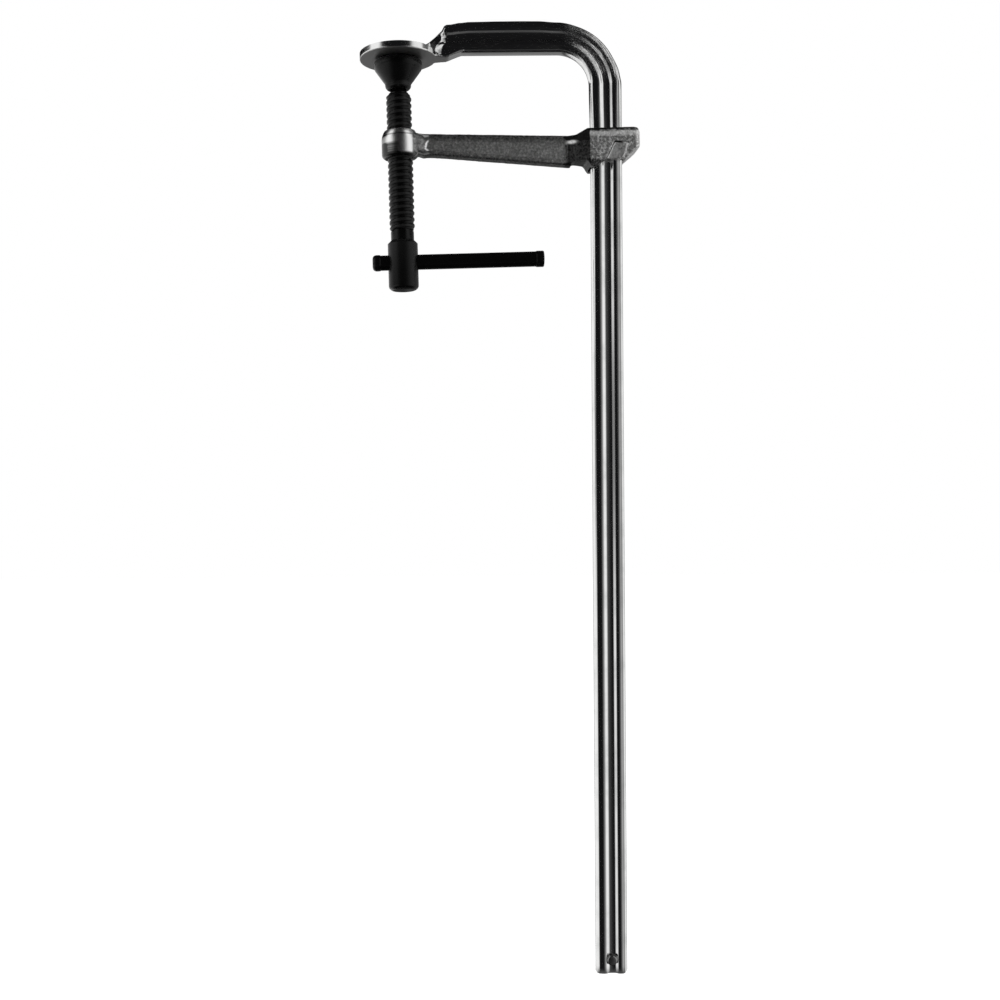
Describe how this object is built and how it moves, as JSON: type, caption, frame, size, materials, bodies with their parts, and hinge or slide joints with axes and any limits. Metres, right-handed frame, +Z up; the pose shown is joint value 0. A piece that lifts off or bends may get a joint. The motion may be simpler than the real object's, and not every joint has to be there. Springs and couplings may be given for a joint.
{
  "type": "bar clamp",
  "caption": "L-shaped steel bar clamp: a bent grooved rail with a round fixed jaw, and a sliding arm with a threaded spindle, swivel pad and tommy bar.",
  "frame": {"origin": "centre of the fixed jaw's clamping face", "axes": "+Z up along the rail, against the clamping direction of the fixed jaw; +X from the spindle to the rail; +Y away from the viewer, across the clamp"},
  "size_m": [0.176, 0.0484, 0.6014],
  "materials": {
    "plated_steel": "bright plated, rolled and drawn along its length",
    "forged_steel": "forged and blasted, matt grey, machined bright at the boss",
    "black_steel": "black oxide, slightly oiled",
    "spring_steel": "bare spring wire"
  },
  "bodies": {
    "rail": {"rail": "plated_steel", "stop_pin": "plated_steel"},
    "sliding_arm": {"sliding_arm": "forged_steel"},
    "ball_ring": {"pad_snap_ring": "spring_steel"},
    "spindle": {"spindle": "black_steel"},
    "tommy_bar": {"tommy_bar": "black_steel"},
    "swivel_pad": {"swivel_pad": "black_steel"}
  },
  "joints": [
    {"name": "arm_slide", "type": "slide", "parent": "rail", "child": "sliding_arm", "axis": [0, 0, 1], "range_m": [-0.4995, 0]},
    {"name": "screw_advance", "type": "slide", "parent": "sliding_arm", "child": "ball_ring", "axis": [-0.0209, 0, 0.9998], "range_m": [-0.0245, 0]},
    {"name": "spindle_turn", "type": "hinge", "parent": "ball_ring", "child": "spindle", "pos_m": [0, 0, -0.0111], "axis": [-0.0209, 0, 0.9998], "range_deg": [-2204, 0]},
    {"name": "tommy_slide", "type": "slide", "parent": "spindle", "child": "tommy_bar", "axis": [0.9998, 0, 0.0209], "range_m": [-0.0746, 0.0049]},
    {"name": "pad_tilt", "type": "hinge", "parent": "ball_ring", "child": "swivel_pad", "pos_m": [0, 0, -0.0111], "axis": [0, 1, 0], "range_deg": [-4, 4]}
  ],
  "couplings": [
    {"joint": "screw_advance", "follows": "spindle_turn", "m_per_rad": 0.00063662}
  ]
}
